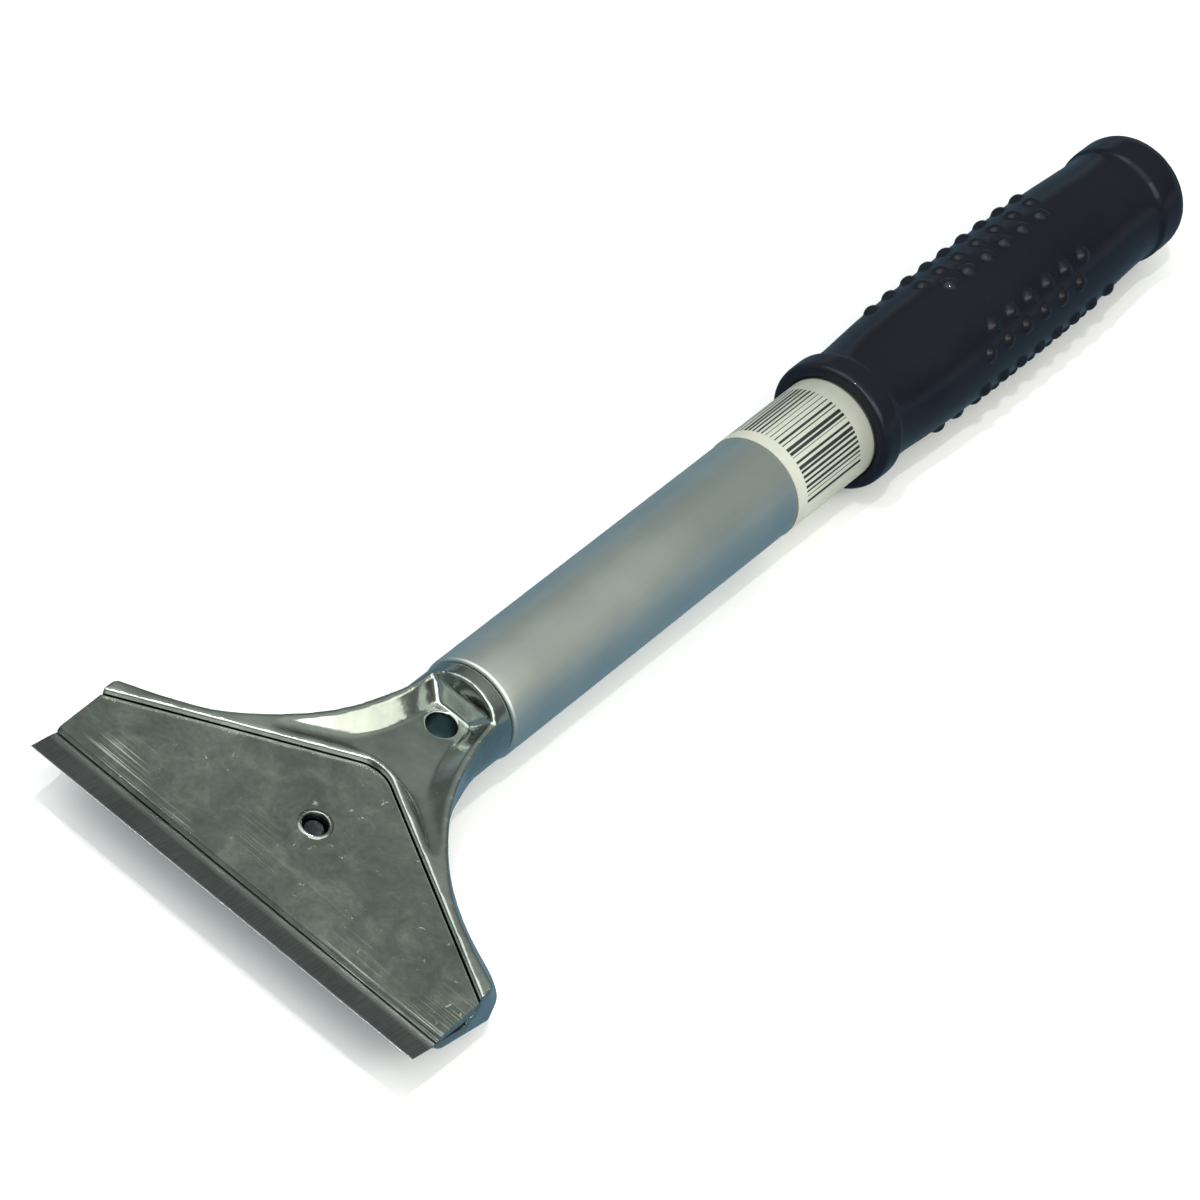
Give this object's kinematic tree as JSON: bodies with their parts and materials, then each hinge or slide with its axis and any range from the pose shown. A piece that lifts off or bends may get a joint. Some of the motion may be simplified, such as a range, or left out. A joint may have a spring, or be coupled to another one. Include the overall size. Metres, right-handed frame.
{
  "type": "algae scraper",
  "caption": "Hand scraper for pond and tank glass: chromed head, strip blade under a screw-down clamp plate, metal tube and studded rubber grip.",
  "frame": {"origin": "under the middle of the object, level with the lowest point of the grip's front flange", "axes": "+X along the blade, +Y from the blade edge back along the handle, +Z out of the side with the clamp plate"},
  "size_m": [0.1002, 0.3362, 0.0308],
  "materials": {
    "chrome": "bright chrome plate over a die casting, slightly mottled",
    "blade_steel": "dark rolled strip steel with a ground edge",
    "zinc_steel": "bright zinc plate",
    "anodised_tube": "satin anodised",
    "label_paper": "matt printed sticker",
    "grip_rubber": "soft sheen moulded PVC"
  },
  "bodies": {
    "handle": {"head_casting": "chrome", "screw_washer": "zinc_steel", "handle_tube": "anodised_tube", "spigot_pin": "zinc_steel", "label": "label_paper", "handle_grip": "grip_rubber"},
    "screw": {"clamp_screw": "zinc_steel"},
    "plate": {"clamp_plate": "chrome"},
    "strip_blade": {"blade": "blade_steel"}
  },
  "joints": [
    {"name": "screw_turn", "type": "hinge", "parent": "handle", "child": "screw", "pos_m": [0, -0.13835, 0.01817], "axis": [0, 0.0629, -0.998], "range_deg": [0, 720]},
    {"name": "plate_lift", "type": "slide", "parent": "handle", "child": "plate", "axis": [0, -0.0629, 0.998], "range_m": [0, 0.0016]},
    {"name": "blade_slide", "type": "slide", "parent": "handle", "child": "strip_blade", "axis": [0, -0.9516, 0.3074], "range_m": [0, 0.02]}
  ],
  "couplings": [
    {"joint": "screw_turn", "follows": "plate_lift", "rad_per_m": 7853}
  ]
}
